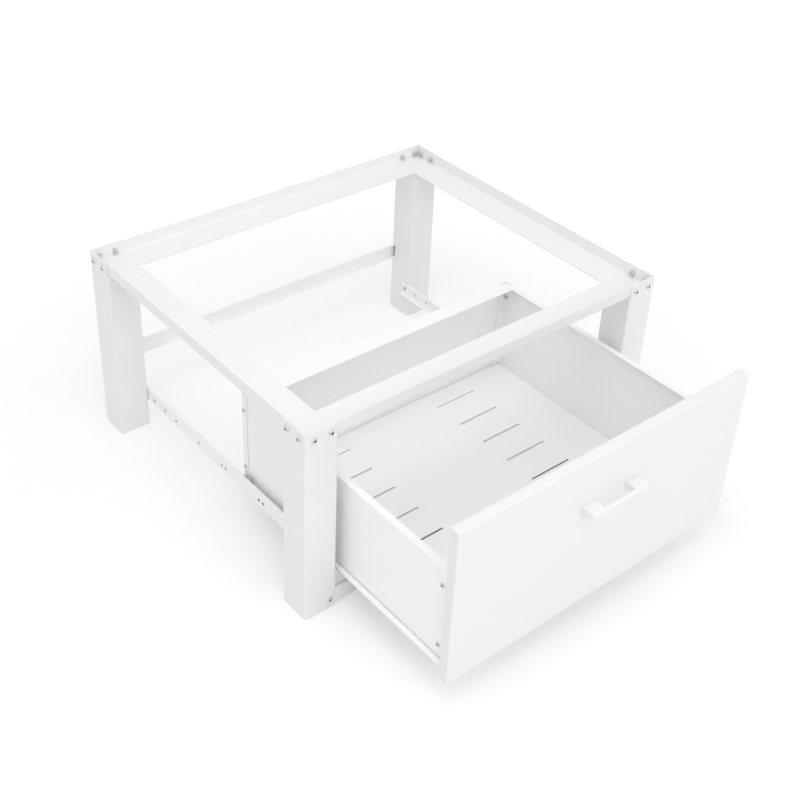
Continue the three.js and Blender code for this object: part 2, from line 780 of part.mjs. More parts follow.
function makeDrawer() {
  const drawer = new THREE.Group();
  drawer.add(part('drawer_front', drawerFront(), whitePaint));
  drawer.add(part('drawer_inner_front', drawerInnerFront(), whitePaint));
  drawer.add(part('drawer_back', drawerBack(), whitePaint));
  drawer.add(part('drawer_floor', drawerFloor(), whitePaint));
  for (const { name, side } of sides) {
    drawer.add(part(`drawer_side_${name}`, drawerSide(side), whitePaint));
  }
  addMovingRunners(drawer);
  addHandle(drawer);
  addBoxScrews(drawer);
  drawer.position.y = -opening;
  return drawer;
}

const pedestal = new THREE.Group();
pedestal.add(makeStand(), makeDrawer());
pedestal.position.y = -(depth + boltProud - opening - handleReach) / 2;

export default pedestal;
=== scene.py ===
import json
import math

import bmesh
import bpy
from mathutils import Euler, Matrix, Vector


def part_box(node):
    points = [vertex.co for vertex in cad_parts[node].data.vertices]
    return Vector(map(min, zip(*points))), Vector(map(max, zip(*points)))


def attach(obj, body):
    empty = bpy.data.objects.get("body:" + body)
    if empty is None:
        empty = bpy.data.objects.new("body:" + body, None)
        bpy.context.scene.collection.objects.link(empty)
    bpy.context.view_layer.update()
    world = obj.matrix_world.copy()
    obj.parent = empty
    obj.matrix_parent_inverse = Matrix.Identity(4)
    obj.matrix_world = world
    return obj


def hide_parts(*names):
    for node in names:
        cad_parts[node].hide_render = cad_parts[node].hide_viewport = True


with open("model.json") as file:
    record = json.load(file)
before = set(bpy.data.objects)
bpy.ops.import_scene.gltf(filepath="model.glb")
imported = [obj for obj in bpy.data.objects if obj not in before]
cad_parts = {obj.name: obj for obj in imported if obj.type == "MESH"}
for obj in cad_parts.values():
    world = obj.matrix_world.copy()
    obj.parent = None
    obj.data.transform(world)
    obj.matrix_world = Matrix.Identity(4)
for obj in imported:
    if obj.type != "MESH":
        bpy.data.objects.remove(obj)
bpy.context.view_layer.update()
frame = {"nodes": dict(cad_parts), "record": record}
nodes = frame["nodes"]
scene = bpy.context.scene
mm = 0.001


# where the picture was taken from
cameraPlace = {
    "position": (-1.0105, -1.1169, 1.2627),
    "aim": (0.0, 0.0531, 0.2737),
    "roll": math.radians(2.77),  # the picture's uprights lean a little
    "focalLength": 57.1,
    "sensorWidth": 36.0,
    "shiftY": -0.12,
    "clip": (0.01, 50.0),
}


def addCamera(place):
    data = bpy.data.cameras.new("pictureCamera")
    data.lens = place["focalLength"]
    data.sensor_width = place["sensorWidth"]
    data.shift_y = place["shiftY"]
    data.clip_start, data.clip_end = place["clip"]
    camera = bpy.data.objects.new("pictureCamera", data)
    scene.collection.objects.link(camera)
    position, aim = Vector(place["position"]), Vector(place["aim"])
    level = (aim - position).to_track_quat("-Z", "Y")
    camera.rotation_mode = "QUATERNION"
    camera.rotation_quaternion = level @ Euler((0, 0, place["roll"])).to_quaternion()
    camera.location = position
    scene.camera = camera


addCamera(cameraPlace)
print("camera placed")


class TreeWriter:
    # short words for writing a node tree
    def __init__(self, tree):
        self.tree = tree

    def fill(self, socket, value):
        if isinstance(value, bpy.types.NodeSocket):
            self.tree.links.new(value, socket)
        else:
            socket.default_value = value

    def node(self, kind, inputs=None, **settings):
        node = self.tree.nodes.new(kind)
        for name, value in settings.items():
            setattr(node, name, value)
        for name, value in (inputs or {}).items():
            self.fill(node.inputs[name], value)
        return node

    def math(self, operation, first, second=0.0):
        return self.node("ShaderNodeMath", {0: first, 1: second}, operation=operation).outputs[0]

    def vector(self, x=0.0, y=0.0, z=0.0):
        return self.node("ShaderNodeCombineXYZ", {"X": x, "Y": y, "Z": z}).outputs[0]

    def moved(self, mesh, shift=None, turn=None, scale=None):
        inputs = {"Geometry": mesh}
        for name, value in (("Translation", shift), ("Rotation", turn), ("Scale", scale)):
            if value is not None:
                inputs[name] = value
        return self.node("GeometryNodeTransform", inputs).outputs[0]

    def joined(self, *meshes):
        union = self.node("GeometryNodeMeshBoolean", operation="UNION", solver="EXACT")
        for mesh in meshes:
            self.tree.links.new(mesh, union.inputs["Mesh 2"])
        return union.outputs["Mesh"]


# an even white studio: light from all round, a wide lamp overhead and one in front
studio = {
    "skyStrength": 0.75,
    "skyColor": (1.0, 1.0, 1.0),
    "backdropColor": (1.0, 1.0, 1.0),
    "lamps": {
        "overheadLamp": {"power": 9.5, "size": 1.2, "position": (-0.55, -0.35, 2.2)},
        "frontLamp": {"power": 17.0, "size": 2.4, "position": (-0.1, -2.45, 1.7)},
    },
    "aim": (0.0, -0.1, 0.15),
    "floorSize": 14.0,
    "floorColor": (0.94, 0.94, 0.94),
    "shownColor": (0.64, 0.64, 0.64),  # what the camera sees: a paler shadow on white
    "glowColor": (1.0, 1.0, 1.0),
    "shownGlow": (0.38, 0.66),  # beside the object, and far off where less light falls
    "glowReach": (0.6, 2.0),
    "floorHeight": -0.0006,
}


def seenDirectly(made):
    # 1 for rays from the camera and for what gloss or glass shows, 0 for light that bounces
    rays = made.node("ShaderNodeLightPath").outputs
    either = made.math("MAXIMUM", rays["Is Camera Ray"], rays["Is Glossy Ray"])
    return made.math("MAXIMUM", either, rays["Is Transmission Ray"])


def setWorld(settings):
    world = bpy.data.worlds.new("paleStudio")
    scene.world = world
    world.use_nodes = True
    world.node_tree.nodes.clear()
    made = TreeWriter(world.node_tree)
    sky = made.node("ShaderNodeBackground", {
        "Color": (*settings["skyColor"], 1), "Strength": settings["skyStrength"]})
    backdrop = made.node("ShaderNodeBackground", {
        "Color": (*settings["backdropColor"], 1), "Strength": 1.0})
    mix = made.node("ShaderNodeMixShader", {
        0: seenDirectly(made), 1: sky.outputs[0], 2: backdrop.outputs[0]})
    made.node("ShaderNodeOutputWorld", {"Surface": mix.outputs[0]})


def addLamp(name, settings, aim):
    data = bpy.data.lights.new(name, "AREA")
    data.energy = settings["power"]
    data.size = settings["size"]
    lamp = bpy.data.objects.new(name, data)
    scene.collection.objects.link(lamp)
    position = Vector(settings["position"])
    lamp.location = position
    lamp.rotation_euler = (Vector(aim) - position).to_track_quat("-Z", "Y").to_euler()


def floorFinish(settings):
    material = bpy.data.materials.new("paleFloor")
    material.use_nodes = True
    material.node_tree.nodes.clear()
    made = TreeWriter(material.node_tree)
    matte = made.node("ShaderNodeBsdfDiffuse", {"Color": (*settings["floorColor"], 1)})
    shown = made.node("ShaderNodeBsdfDiffuse", {"Color": (*settings["shownColor"], 1)})
    place = made.node("ShaderNodeTexCoord").outputs["Object"]
    distance = made.node("ShaderNodeVectorMath", {0: place}, operation="LENGTH")
    near, far = settings["glowReach"]
    nearGlow, farGlow = settings["shownGlow"]
    rise = made.node("ShaderNodeMapRange", {
        "Value": distance.outputs["Value"], "From Min": near, "From Max": far,
        "To Min": nearGlow, "To Max": farGlow})
    glow = made.node("ShaderNodeEmission", {
        "Color": (*settings["glowColor"], 1), "Strength": rise.outputs["Result"]})
    both = made.node("ShaderNodeAddShader", {0: shown.outputs[0], 1: glow.outputs[0]})
    fromAbove = made.node("ShaderNodeMixShader", {
        0: seenDirectly(made), 1: matte.outputs[0], 2: both.outputs[0]})
    # from below the floor is clear, so that the underside can be looked at
    below = made.node("ShaderNodeNewGeometry").outputs["Backfacing"]
    clear = made.node("ShaderNodeBsdfTransparent").outputs[0]
    whole = made.node("ShaderNodeMixShader", {0: below, 1: fromAbove.outputs[0], 2: clear})
    made.node("ShaderNodeOutputMaterial", {"Surface": whole.outputs[0]})
    return material


def addFloor(settings):
    mesh = bpy.data.meshes.new("studioFloor")
    reach, z = settings["floorSize"] / 2, settings["floorHeight"]
    corners = [(-reach, -reach, z), (reach, -reach, z), (reach, reach, z), (-reach, reach, z)]
    mesh.from_pydata(corners, [], [(0, 1, 2, 3)])
    mesh.materials.append(floorFinish(settings))
    floor = bpy.data.objects.new("studioFloor", mesh)
    scene.collection.objects.link(floor)


scene.view_settings.view_transform = "Standard"
setWorld(studio)
for name, lamp in studio["lamps"].items():
    addLamp(name, lamp, studio["aim"])
addFloor(studio)
print("studio lit")


# finishes: colours are linear, scales are per metre, depths in metres
powderCoat = {
    "color": (0.892, 0.892, 0.891),
    "faded": (0.88, 0.88, 0.879),
    "patchScale": 5.0,
    "roughness": (0.36, 0.46),
    "peelScale": 620.0,  # the fine pebbling of baked powder, about 1.6 mm across
    "peelDepth": 0.00002,
    "waveScale": 38.0,  # the sheet's own faint waviness
    "waveDepth": 0.00005,
    "bareColor": (0.07, 0.07, 0.072),  # near-black: the bare steel on the walls of pierced holes and slots, darkened further as painted shade inside them
}
# painted light: a lighter copy of the powder coat, for the drawer's shaded inside, its runners
# and the crossbars
boxCoat = {**powderCoat, "color": (0.972, 0.972, 0.971), "faded": (0.965, 0.965, 0.964)}
# painted shade: a darker copy of the powder coat, to hold down the front lamp on the drawer's
# face
panelCoat = {**powderCoat, "color": (0.862, 0.862, 0.861), "faded": (0.855, 0.855, 0.854)}
mouldedWhite = {
    "color": (0.872, 0.872, 0.869),
    "faded": (0.864, 0.864, 0.86),
    "patchScale": 22.0,
    "roughness": (0.32, 0.42),
    "peelScale": 1500.0,
    "peelDepth": 0.000008,
    "waveScale": 160.0,
    "waveDepth": 0.00002,
}
paleNylon = {
    "color": (0.62, 0.62, 0.6),
    "faded": (0.55, 0.55, 0.53),
    "patchScale": 90.0,
    "roughness": (0.42, 0.58),
    "peelScale": 2200.0,
    "peelDepth": 0.00001,
    "waveScale": 300.0,
    "waveDepth": 0.00002,
}
zincPlate = {
    "color": (0.7, 0.705, 0.71),
    "faded": (0.58, 0.585, 0.59),
    "patchScale": 420.0,
    "roughness": (0.3, 0.46),
    "peelScale": 3000.0,
    "peelDepth": 0.000008,
    "waveScale": 700.0,
    "waveDepth": 0.00001,
    "metallic": 0.75,
    "bareColor": (0.05, 0.05, 0.053),  # painted shade inside the cross recess
}
noiseDetail = {"patch": 3.0, "peel": 1.5, "wave": 1.0}
patchSpread = (0.35, 0.65)  # the part of the noise that runs from faded to full colour


def addNoise(made, place, scale, detail):
    return made.node("ShaderNodeTexNoise", {
        "Vector": place, "Scale": scale, "Detail": detail}).outputs["Fac"]


def addBump(made, height, depth, below=None):
    inputs = {"Strength": 1.0, "Distance": depth, "Height": height}
    if below is not None:
        inputs["Normal"] = below
    return made.node("ShaderNodeBump", inputs).outputs["Normal"]


def addTint(made, factor, first, second):
    tint = made.node("ShaderNodeMix", {"Factor": factor}, data_type="RGBA")
    sockets = [socket for socket in tint.inputs if socket.type == "RGBA"]
    for socket, color in zip(sockets, (first, second)):
        made.fill(socket, (*color, 1) if isinstance(color, tuple) else color)
    return next(socket for socket in tint.outputs if socket.type == "RGBA")


def makeFinish(name, finish):
    material = bpy.data.materials.new(name)
    material.use_nodes = True
    shader = material.node_tree.nodes["Principled BSDF"]
    made = TreeWriter(material.node_tree)
    place = made.node("ShaderNodeTexCoord").outputs["Object"]
    patch, peel, wave = (
        addNoise(made, place, finish[kind + "Scale"], detail)
        for kind, detail in noiseDetail.items())
    low, high = patchSpread
    spread = made.node("ShaderNodeMapRange", {"Value": patch, "From Min": low, "From Max": high})
    color = addTint(made, spread.outputs["Result"], finish["faded"], finish["color"])
    # painted shade: marked faces take the near-black colour, for bare metal and the shade inside
    # holes, slots and recesses
    if "bareColor" in finish:
        bare = made.node("ShaderNodeAttribute", attribute_name="bare")
        color = addTint(made, bare.outputs["Fac"], color, finish["bareColor"])
    low, high = finish["roughness"]
    gloss = made.node("ShaderNodeMapRange", {"Value": peel, "To Min": low, "To Max": high})
    broad = addBump(made, wave, finish["waveDepth"])
    made.fill(shader.inputs["Base Color"], color)
    made.fill(shader.inputs["Metallic"], finish.get("metallic", 0.0))
    made.fill(shader.inputs["Roughness"], gloss.outputs["Result"])
    made.fill(shader.inputs["Normal"], addBump(made, peel, finish["peelDepth"], broad))
    return material


finishes = {
    "white_enamel": makeFinish("powderCoat", powderCoat),
    "white_plastic": makeFinish("mouldedWhite", mouldedWhite),
    "roller_plastic": makeFinish("paleNylon", paleNylon),
    "zinc_steel": makeFinish("zincPlate", zincPlate),
}
ownFinishes = {
    # painted shade: the darker copy on the drawer's lamp-lit face
    "drawer_front": makeFinish("panelCoat", panelCoat),
    # painted light: the lighter copy for parts that sit in shade
    **dict.fromkeys(
        ("drawer_inner_front", "drawer_back", "drawer_floor", "drawer_side_left",
         "drawer_side_right", "moving_runner_left", "moving_runner_right",
         "fixed_runner_left", "fixed_runner_right", "crossbar_front", "crossbar_rear"),
        makeFinish("boxCoat", boxCoat)),
}
slotOfNode = {part["node"]: part["material_slot"] for part in frame["record"]["subparts"]}
bodyOfNode = {
    node: body
    for body, members in frame["record"]["behaviour"]["bodies"].items()
    for node in members
}


def finishOf(node):
    return ownFinishes.get(node, finishes[slotOfNode[node]])


print("finishes mixed")


def pieceName(node):
    first, *rest = node.split("_")
    return first + "".join(word.capitalize() for word in rest)


def pieceFrom(shape, name):
    # what was drawn becomes an object of the scene
    mesh = bpy.data.meshes.new(name)
    shape.to_mesh(mesh)
    shape.free()
    piece = bpy.data.objects.new(name, mesh)
    scene.collection.objects.link(piece)
    return piece


def coat(piece, node):
    piece.data.materials.clear()
    piece.data.materials.append(finishOf(node))
    faces = piece.data.polygons
    faces.foreach_set("material_index", [0] * len(faces))


def shade(piece, smooth):
    faces = piece.data.polygons
    faces.foreach_set("use_smooth", [smooth] * len(faces))


def bakeModifiers(piece):
    # what the modifiers make becomes the piece's own mesh
    graph = bpy.context.evaluated_depsgraph_get()
    mesh = bpy.data.meshes.new_from_object(piece.evaluated_get(graph))
    piece.modifiers.clear()
    piece.data = mesh


mergeWithin = 0.002 * mm  # points of a node's triangles that are closer than this become one


def copyOfNode(node, flatWithin=None):
    # the node's loose triangles, joined, with what is flat made one face again
    shape = bmesh.new()
    shape.from_mesh(nodes[node].data)
    bmesh.ops.remove_doubles(shape, verts=shape.verts, dist=mergeWithin)
    if flatWithin is not None:
        bmesh.ops.dissolve_limit(
            shape, angle_limit=flatWithin, verts=shape.verts, edges=shape.edges)
    piece = pieceFrom(shape, pieceName(node))
    coat(piece, node)
    return piece


def takePlaceOf(piece, node):
    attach(piece, bodyOfNode[node])
    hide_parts(node)


def ownBox(piece):
    corners = [Vector(corner) for corner in piece.bound_box]
    return corners[0], corners[6]


# sheet metal: the cut edges are rounded a little, and the flat faces stay flat
softSheet = {
    "flatWithin": math.radians(0.4),  # neighbouring triangles closer than this become one face
    "edgeAngle": math.radians(50),  # sharper edges are rounded
    "edgeRound": 0.15 * mm,
    "edgeSteps": 2,
    "smoothAngle": math.radians(50),
    "flatWeight": 100,  # the most that large faces can count in the shading
}
facesUp = 0.99  # a face points along a direction if its normal does by this much
facesAcross = 0.5  # and lies across it if by less than this


# legs: the closed top is lifted level with the ledges that meet it
legTop = {
    "lid": 290.2 * mm,
    "level": 292.0 * mm,  # the rails' ledges
    "rimRoom": 3.6 * mm,  # kept clear inside the leg's outer walls for the rims
    "innerWalls": 45.0 * mm,  # farther in than this is beside a ledge
    "spread": 0.2 * mm,  # closes most of the joint to the ledges
    "cutWithin": 0.01 * mm,
}
legBoxes = [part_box(node) for node in nodes if node.startswith("leg")]
middleOfLegs = sum((low + high for low, high in legBoxes), Vector()) / (2 * len(legBoxes))


def raiseLegTop(piece, settings):
    low, high = ownBox(piece)
    side = math.copysign(1, low.x + high.x - 2 * middleOfLegs.x)
    end = math.copysign(1, low.y + high.y - 2 * middleOfLegs.y)
    outer = Vector((high.x if side > 0 else low.x, high.y if end > 0 else low.y, 0))
    inward = Vector((-side, -end, 0))
    shape = bmesh.new()
    shape.from_mesh(piece.data)

    def insideOf(point):
        # how far a point lies inside the leg's two outer walls
        return (point.x - outer.x) * inward.x, (point.y - outer.y) * inward.y

    def lidFaces():
        return [face for face in shape.faces if face.normal.z > facesUp
                and abs(face.calc_center_median().z - settings["lid"]) < settings["spread"]]

    for across in (Vector((1, 0, 0)), Vector((0, 1, 0))):
        faces = lidFaces()
        around = {item for face in faces for item in (*face.edges, *face.verts)}
        bmesh.ops.bisect_plane(
            shape, geom=[*faces, *around], dist=settings["cutWithin"], plane_no=across,
            plane_co=outer + inward * settings["rimRoom"])
    inner = [face for face in lidFaces()
             if min(insideOf(face.calc_center_median())) > settings["rimRoom"]]
    raised = bmesh.ops.extrude_face_region(shape, geom=inner)["geom"]
    bmesh.ops.delete(shape, geom=inner, context="FACES_ONLY")
    for vert in (item for item in raised if isinstance(item, bmesh.types.BMVert)):
        sideways, endways = insideOf(vert.co)
        vert.co.z = settings["level"]
        if sideways > settings["innerWalls"]:
            vert.co.x += inward.x * settings["spread"]
        if endways > settings["innerWalls"]:
            vert.co.y += inward.y * settings["spread"]
    bmesh.ops.recalc_face_normals(shape, faces=shape.faces)
    shape.to_mesh(piece.data)
    shape.free()


def markBareAndShade(piece, isBareAndShade):
    # the walls of pierced holes and slots are marked for a near-black colour: bare metal, with
    # painted shade inside them
    mark = piece.data.attributes.new("bare", "FLOAT", "FACE")
    for face, datum in zip(piece.data.polygons, mark.data):
        datum.value = 1.0 if isBareAndShade(face) else 0.0


# fixed runners: a narrower upper lip to look at, and the web's holes with bare walls darkened as
# painted shade
fixedRunner = {
    "lipTrim": 3.4 * mm,
    "lipHeight": 2.0 * mm,
    "webDepth": 1.3 * mm,  # the holes' walls lie within this of the web's outer face
    "webMargin": 3.5 * mm,  # and this far from its folds and ends
}


def trimUpperLip(piece, settings):
    low, high = ownBox(piece)
    side = math.copysign(1, low.x)
    lip = [vert for vert in piece.data.vertices if high.z - vert.co.z < settings["lipHeight"]]
    inmost = min(abs(vert.co.x) for vert in lip)
    for vert in lip:
        if abs(vert.co.x) - inmost < mergeWithin:
            vert.co.x += side * settings["lipTrim"]


# painted shade: the holes' walls are marked near-black so that the holes look shadowed
def bareAndShadeHoleWalls(piece, settings):
    low, high = ownBox(piece)
    outside = max(abs(low.x), abs(high.x))
    margin = settings["webMargin"]

    def isBareAndShade(face):
        place = face.center
        return (outside - abs(place.x) < settings["webDepth"]
                and low.y + margin < place.y < high.y - margin
                and low.z + margin < place.z < high.z - margin
                and abs(face.normal.x) < facesAcross)

    markBareAndShade(piece, isBareAndShade)


def addSoftSheet(node, sheet):
    piece = copyOfNode(node, sheet["flatWithin"])
    if node.startswith("leg"):
        raiseLegTop(piece, legTop)
    if node.startswith("fixed_runner"):
        trimUpperLip(piece, fixedRunner)
    shade(piece, smooth=True)
    bevel = piece.modifiers.new("roundEdges", "BEVEL")
    bevel.limit_method = "ANGLE"
    bevel.angle_limit = sheet["edgeAngle"]
    bevel.width = sheet["edgeRound"]
    bevel.segments = sheet["edgeSteps"]
    bevel.use_clamp_overlap = True
    bakeModifiers(piece)
    piece.data.set_sharp_from_angle(angle=sheet["smoothAngle"])
    flat = piece.modifiers.new("keepFlat", "WEIGHTED_NORMAL")
    flat.mode = "FACE_AREA"
    flat.weight = sheet["flatWeight"]
    flat.keep_sharp = True
    bakeModifiers(piece)
    if node.startswith("fixed_runner"):
        bareAndShadeHoleWalls(piece, fixedRunner)
    takePlaceOf(piece, node)


# the drawer's floor: its slots are too fine for a rounded edge, so only their walls are marked,
# near-black as bare metal with painted shade
slottedFloor = {
    "node": "drawer_floor",
    "slotMargin": 12.0 * mm,  # the slots lie at least this far inside the floor's edges
}


def addSlottedFloor(settings):
    node, margin = settings["node"], settings["slotMargin"]
    piece = copyOfNode(node)
    low, high = ownBox(piece)

    def isBareAndShade(face):
        place = face.center
        return (low.x + margin < place.x < high.x - margin
                and low.y + margin < place.y < high.y - margin
                and abs(face.normal.z) < facesAcross)

    markBareAndShade(piece, isBareAndShade)
    shade(piece, smooth=False)
    takePlaceOf(piece, node)


addSlottedFloor(slottedFloor)
otherWords = ("bolt", "screw", "handle", "roller", slottedFloor["node"])
sheetNodes = [node for node in nodes if not any(word in node for word in otherWords)]
for node in sheetNodes:
    addSoftSheet(node, softSheet)
print("sheet metal softened:", len(sheetNodes))


def remould(piece, settings):
    # an even skin over the whole shape, with its edges eased
    skin = piece.modifiers.new("evenSkin", "REMESH")
    skin.mode = "VOXEL"
    skin.voxel_size = settings["voxel"]
    skin.use_smooth_shade = True
    ease = piece.modifiers.new("easeEdges", "SMOOTH")
    ease.factor = settings["easing"]
    ease.iterations = settings["rounds"]
    bakeModifiers(piece)


# rollers: turned smooth, with soft rims
softRoller = {"voxel": 0.5 * mm, "easing": 0.5, "rounds": 2}


def addRoller(node, settings):
    piece = copyOfNode(node)
    remould(piece, settings)
    takePlaceOf(piece, node)


rollerNodes = [node for node in nodes if "roller" in node]
for node in rollerNodes:
    addRoller(node, softRoller)
print("rollers turned:", len(rollerNodes))


# handle: two broad feet and a round-edged bar, moulded in one, flat where it meets the drawer
handleShape = {
    "footWidth": 22.5 * mm,
    "footHeight": 10.5 * mm,
    "footCorner": 6.5 * mm,
    "backReach": 0.2 * mm,  # past the handle's own back, almost onto the drawer's face
    "barDepth": 6.6 * mm,
    "barHeight": 7.6 * mm,
    "barInset": 1.0 * mm,  # from the feet's outer faces to the bar's
    "barFullness": 2.5,  # 2 is an ellipse, more is squarer
    "steps": 24,
    "overrun": 3.0 * mm,  # cut off again at the drawer's face
    "voxel": 0.5 * mm,
    "easing": 0.5,
    "rounds": 18,
    "screwRoom": 2.3 * mm,
    "screwDepth": 10.0 * mm,
    "smoothAngle": math.radians(45),
}


def loftBetween(shape, first, second):
    # a closed prism between two outlines with the same number of points
    rings = [[shape.verts.new(point) for point in ring] for ring in (first, second)]
    count = len(first)
    for i in range(count):
        j = (i + 1) % count
        shape.faces.new((rings[0][i], rings[0][j], rings[1][j], rings[1][i]))
    shape.faces.new(reversed(rings[0]))
    shape.faces.new(rings[1])


def roundedPlan(x0, x1, y0, y1, radius, steps):
    # a rectangle seen from above with its two front corners rounded
    points = [(x1, y1), (x0, y1)]
    for middle, start in ((x0 + radius, math.pi), (x1 - radius, 1.5 * math.pi)):
        for i in range(steps + 1):
            angle = start + math.pi / 2 * i / steps
            points.append((
                middle + radius * math.cos(angle), y0 + radius + radius * math.sin(angle)))
    return points


def fullRing(middle, width, height, fullness, steps):
    # an oval between an ellipse and a rectangle around a point
    points = []
    for i in range(steps):
        angle = 2 * math.pi * i / steps
        points.append(tuple(
            place + math.copysign(abs(reach) ** (2 / fullness), reach) * size / 2
            for place, reach, size in zip(
                middle, (math.cos(angle), math.sin(angle)), (width, height))))
    return points


def drawHandle(settings, low, high, footSpans):
    shape = bmesh.new()
    middle, halfHeight = (low + high) / 2, settings["footHeight"] / 2
    for x0, x1 in footSpans:
        plan = roundedPlan(x0, x1, low.y, high.y + settings["overrun"],
                           settings["footCorner"], settings["steps"] // 4)
        loftBetween(shape, *[[(x, y, z) for x, y in plan]
                             for z in (middle.z - halfHeight, middle.z + halfHeight)])
    barMiddle = low.y + settings["barInset"] + settings["barDepth"] / 2
    ring = fullRing((barMiddle, middle.z), settings["barDepth"], settings["barHeight"],
                    settings["barFullness"], settings["steps"])
    loftBetween(shape, *[[((x0 + x1) / 2, y, z) for y, z in ring] for x0, x1 in footSpans])
    bmesh.ops.recalc_face_normals(shape, faces=shape.faces)
    return shape


def cutFlatBehind(piece, y):
    shape = bmesh.new()
    shape.from_mesh(piece.data)
    cut = bmesh.ops.bisect_plane(
        shape, geom=shape.verts[:] + shape.edges[:] + shape.faces[:],
        plane_co=(0, y, 0), plane_no=(0, 1, 0), clear_outer=True)
    rim = [item for item in cut["geom_cut"] if isinstance(item, bmesh.types.BMEdge)]
    bmesh.ops.holes_fill(shape, edges=rim, sides=0)
    shape.to_mesh(piece.data)
    shape.free()


def drillFromBehind(piece, settings, places, z, back):
    drill = bmesh.new()
    radius, steps = settings["screwRoom"], settings["steps"]
    for place in places:
        circle = fullRing((place, z), 2 * radius, 2 * radius, 2, steps)
        loftBetween(drill, *[[(x, y, height) for x, height in circle] for y in (
            back - settings["screwDepth"], back + settings["overrun"])])
    bmesh.ops.recalc_face_normals(drill, faces=drill.faces)
    cutter = pieceFrom(drill, "drill")
    holes = piece.modifiers.new("screwHoles", "BOOLEAN")
    holes.operation = "DIFFERENCE"
    holes.solver = "EXACT"
    holes.object = cutter
    bakeModifiers(piece)
    bpy.data.objects.remove(cutter)


def addHandle(settings):
    low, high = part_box("handle")
    middle, width = (low + high) / 2, settings["footWidth"]
    footSpans = [(low.x, low.x + width), (high.x - width, high.x)]
    piece = pieceFrom(drawHandle(settings, low, high, footSpans), "pullHandle")
    remould(piece, settings)
    cutFlatBehind(piece, high.y + settings["backReach"])
    footMiddles = [(x0 + x1) / 2 for x0, x1 in footSpans]
    drillFromBehind(piece, settings, footMiddles, middle.z, high.y)
    coat(piece, "handle")
    shade(piece, smooth=True)
    piece.data.set_sharp_from_angle(angle=settings["smoothAngle"])
    takePlaceOf(piece, "handle")
    print("handle moulded,", len(piece.data.polygons), "faces")


addHandle(handleShape)


# bolts and screws: one node tree makes each fastener and sets it on its points
frameBolt = {
    "Head Radius": 3.9 * mm,
    "Head Height": 2.4 * mm,
    "Recess Reach": 2.8 * mm,
    "Recess Width": 1.5 * mm,
    "Recess Depth": 1.6 * mm,
    "Shank Radius": 2.5 * mm,
    "Length": 10.9 * mm,
    "Nut Across": 7.0 * mm,
    "Nut Height": 3.2 * mm,
    "Nut Inset": 1.0 * mm,
    "Turn Seed": 3,
}
sheetScrew = {
    "Head Radius": 3.5 * mm,
    "Head Height": 1.8 * mm,
    "Recess Reach": 2.4 * mm,
    "Recess Width": 1.3 * mm,
    "Recess Depth": 1.35 * mm,
    "Shank Radius": 2.0 * mm,
    "Length": 9.9 * mm,
    "Nut Across": 0.0,
    "Nut Height": 0.0,
    "Nut Inset": 1.0 * mm,
    "Turn Seed": 8,
}
boxScrew = {
    **sheetScrew,
    "Length": 7.7 * mm,
    "Nut Across": 5.5 * mm,
    "Nut Height": 2.4 * mm,
    "Turn Seed": 5,
}
handleScrew = {**sheetScrew, "Length": 13.1 * mm, "Turn Seed": 12}


# shapes every fastener shares: counts, and shares of the sizes above
fastenerShape = {
    "around": 28,
    "rings": 16,
    "shankSides": 20,
    "nutBands": 8,
    "fullness": 4.0,  # of the head's dome: 2 is round, more is flatter
    "crossFloor": 0.45,  # the cross narrows to this towards its floor
    "squareWidth": 1.4,  # a four-sided cone's width for a radius of 1
    "crossRise": 1.02,  # the cutter starts just above the head
    "overlap": 0.1,  # of the shank into the head
    "nutEnds": 0.45,  # beyond this part of the nut's height its ends are drawn in
    "nutDrawIn": 0.08,
    "smoothAngle": math.radians(35),
}
tiny = 0.00001
quarterTurn = math.pi / 2


def fastenerHead(made, asked, xyz):
    # a ball whose upper half is pressed into a pan and whose lower half is flat
    radius, height = asked["Head Radius"], asked["Head Height"]
    ball = made.node("GeometryNodeMeshUVSphere", {
        "Segments": fastenerShape["around"], "Rings": fastenerShape["rings"],
        "Radius": radius}).outputs[0]
    across = made.math("SQRT", made.math(
        "ADD", made.math("MULTIPLY", xyz[0], xyz[0]), made.math("MULTIPLY", xyz[1], xyz[1])))
    outwardness = made.math("MINIMUM", made.math("DIVIDE", across, radius), 1.0)
    fall = made.math("POWER", outwardness, fastenerShape["fullness"])
    dome = made.math("MULTIPLY", height, made.math("SQRT", made.math("SUBTRACT", 1.0, fall)))
    above = made.math("GREATER_THAN", xyz[2], tiny)
    return made.node("GeometryNodeSetPosition", {
        "Geometry": ball,
        "Position": made.vector(xyz[0], xyz[1], made.math("MULTIPLY", dome, above)),
    }).outputs[0]


def crossCutter(made, asked):
    # two tapered blades, to be sunk into the head's top
    reach, depth = asked["Recess Reach"], asked["Recess Depth"]
    blade = made.node("GeometryNodeMeshCone", {
        "Vertices": 4, "Radius Top": reach, "Depth": depth,
        "Radius Bottom": made.math("MULTIPLY", reach, fastenerShape["crossFloor"]),
    }).outputs["Mesh"]
    thinness = made.math("DIVIDE", asked["Recess Width"],
                         made.math("MULTIPLY", reach, fastenerShape["squareWidth"]))
    rise = made.math("MULTIPLY", asked["Head Height"], fastenerShape["crossRise"])
    sunk = made.vector(z=made.math("SUBTRACT", rise, depth))
    squared = made.moved(blade, turn=(0.0, 0.0, quarterTurn / 2))
    blades = []
    for turn in (0.0, quarterTurn):
        thin = made.moved(squared, shift=sunk, scale=made.vector(1.0, thinness, 1.0))
        blades.append(made.moved(thin, turn=(0.0, 0.0, turn)))
    # the blades mark the recess they cut for the near-black colour: painted shade inside the
    # cross
    return made.node("GeometryNodeStoreNamedAttribute", {
        "Geometry": made.joined(*blades), "Name": "bare", "Value": 1.0,
    }, data_type="FLOAT", domain="FACE").outputs[0]


